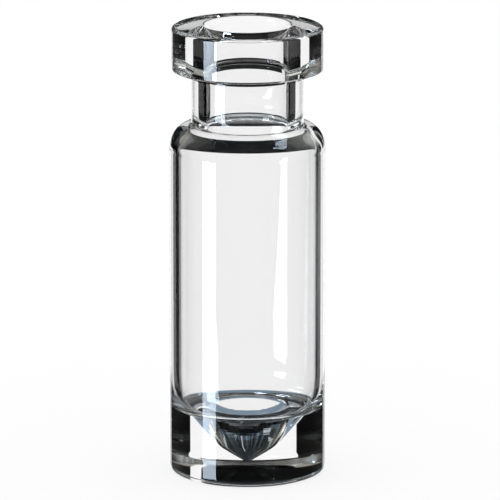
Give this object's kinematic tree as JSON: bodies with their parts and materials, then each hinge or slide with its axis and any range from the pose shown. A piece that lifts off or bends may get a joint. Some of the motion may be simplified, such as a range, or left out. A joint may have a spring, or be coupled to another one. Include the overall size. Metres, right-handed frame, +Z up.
{
  "type": "glass sample vial",
  "caption": "Small clear glass vial with a crimp ring at the mouth, a straight neck, a round shoulder, and a thick solid base holding a conical well.",
  "frame": {"origin": "centre of the foot, on the surface that the vial stands on", "axes": "+Z up along the vial's axis, from the foot to the mouth; X and Y are free, because the vial is round"},
  "size_m": [0.0114, 0.0114, 0.0334],
  "materials": {
    "clear_glass": "clear, polished, colourless borosilicate glass"
  },
  "bodies": {
    "root": {"glass_vial": "clear_glass"}
  },
  "joints": []
}
